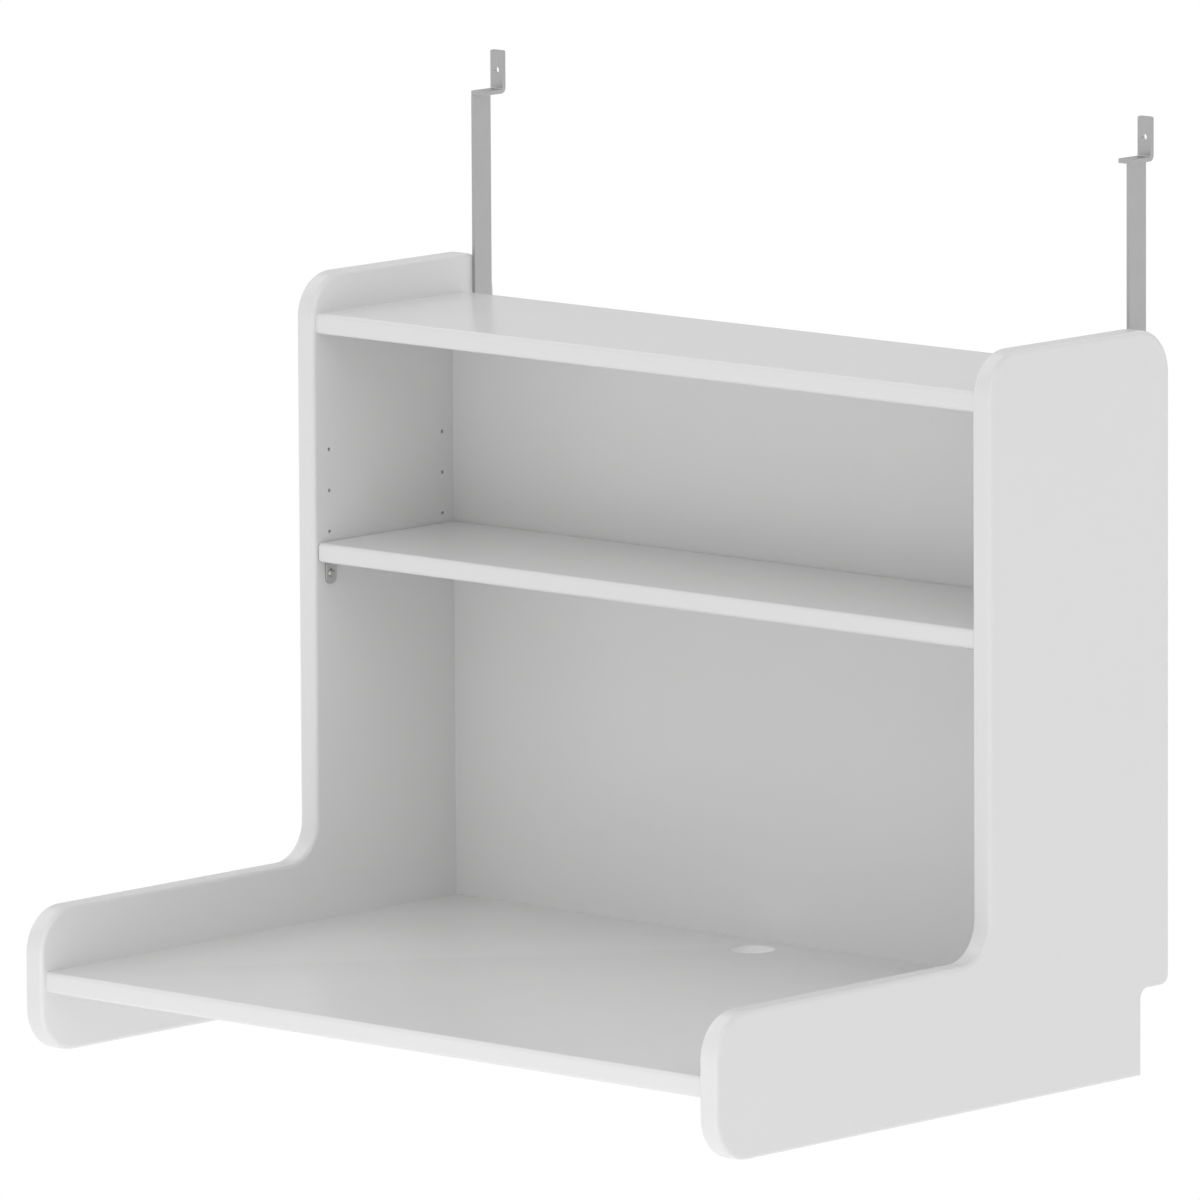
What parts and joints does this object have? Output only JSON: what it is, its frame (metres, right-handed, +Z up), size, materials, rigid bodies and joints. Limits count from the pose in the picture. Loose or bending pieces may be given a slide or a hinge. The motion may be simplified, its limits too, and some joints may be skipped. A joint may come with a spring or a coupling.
{
  "type": "hanging desk",
  "caption": "Desk and shelf unit that hangs on a loft bed's side rail: L-shaped side panels, desk top, back panel, fixed top shelf, lift-out shelf and steel hangers.",
  "frame": {"origin": "middle of the footprint, level with the undersides of the side panels", "axes": "+X to the user's right, +Y towards the bed, +Z up"},
  "size_m": [0.706, 0.511, 0.7225],
  "materials": {
    "white_lacquer": "satin white lacquer over fibreboard",
    "hanger_steel": "matt grey powder coat on steel",
    "screw_steel": "bright zinc plated",
    "fitting_zinc": "die-cast zinc",
    "support_nickel": "nickel plated",
    "white_plastic": "moulded white",
    "beech_dowel": "raw beech"
  },
  "bodies": {
    "hanging_desk": {"left_side_panel": "white_lacquer", "right_side_panel": "white_lacquer", "desk_top": "white_lacquer", "top_shelf": "white_lacquer", "back_panel": "white_lacquer", "left_hanger_strap": "hanger_steel", "right_hanger_strap": "hanger_steel", "left_hanger_hook": "hanger_steel", "right_hanger_hook": "hanger_steel", "hanger_screws": "screw_steel", "desk_top_cam_locks": "fitting_zinc", "desk_top_cam_bolts": "screw_steel", "desk_top_cam_caps": "white_plastic", "desk_top_dowels": "beech_dowel", "top_shelf_cam_locks": "fitting_zinc", "top_shelf_cam_bolts": "screw_steel", "top_shelf_cam_caps": "white_plastic", "top_shelf_dowels": "beech_dowel", "back_panel_side_dowels": "beech_dowel", "back_panel_upright_dowels": "beech_dowel"},
    "adjustable_shelf": {"adjustable_shelf": "white_lacquer"},
    "front_left_support": {"front_left_support_plate": "support_nickel", "front_left_support_pin": "support_nickel"},
    "front_right_support": {"front_right_support_plate": "support_nickel", "front_right_support_pin": "support_nickel"},
    "rear_left_support": {"rear_left_support_plate": "support_nickel", "rear_left_support_pin": "support_nickel"},
    "rear_right_support": {"rear_right_support_plate": "support_nickel", "rear_right_support_pin": "support_nickel"}
  },
  "joints": [
    {"name": "shelf_pull_out", "type": "slide", "parent": "hanging_desk", "child": "adjustable_shelf", "axis": [0, -1, 0], "range_m": [0, 0.16]},
    {"name": "front_left_support_unplug", "type": "slide", "parent": "hanging_desk", "child": "front_left_support", "axis": [1, 0, 0], "range_m": [0, 0.0095]},
    {"name": "front_right_support_unplug", "type": "slide", "parent": "hanging_desk", "child": "front_right_support", "axis": [-1, 0, 0], "range_m": [0, 0.0095]},
    {"name": "rear_left_support_unplug", "type": "slide", "parent": "hanging_desk", "child": "rear_left_support", "axis": [1, 0, 0], "range_m": [0, 0.0095]},
    {"name": "rear_right_support_unplug", "type": "slide", "parent": "hanging_desk", "child": "rear_right_support", "axis": [-1, 0, 0], "range_m": [0, 0.0095]}
  ]
}
